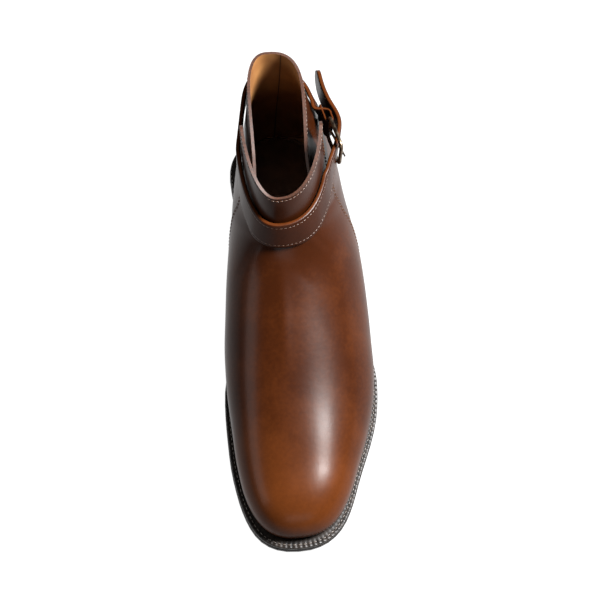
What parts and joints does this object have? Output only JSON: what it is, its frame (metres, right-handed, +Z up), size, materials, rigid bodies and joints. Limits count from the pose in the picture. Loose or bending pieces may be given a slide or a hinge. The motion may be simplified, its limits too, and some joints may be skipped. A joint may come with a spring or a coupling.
{
  "type": "jodhpur boot",
  "caption": "Left men's jodhpur boot in burnished brown calf, with a plain toe, a wrapped ankle strap with a side buckle, a stitched black welt and a stacked heel.",
  "frame": {"origin": "middle of the heel's tread, where the boot stands on the floor", "axes": "-Y towards the toe, +X towards the wearer's outer side, +Z up"},
  "size_m": [0.107, 0.308, 0.1522],
  "materials": {
    "calf": "gloss",
    "edge": "satin",
    "insole_leather": "matte",
    "rubber": "matte",
    "metal": "satin"
  },
  "bodies": {
    "root": {"upper": "calf", "strap": "calf", "buckle_frame": "metal", "buckle_prong": "metal", "welt": "edge", "outsole": "edge", "insole": "insole_leather", "heel_lift_1": "edge", "heel_lift_2": "edge", "heel_lift_3": "edge", "heel_top_piece": "rubber"}
  },
  "joints": []
}
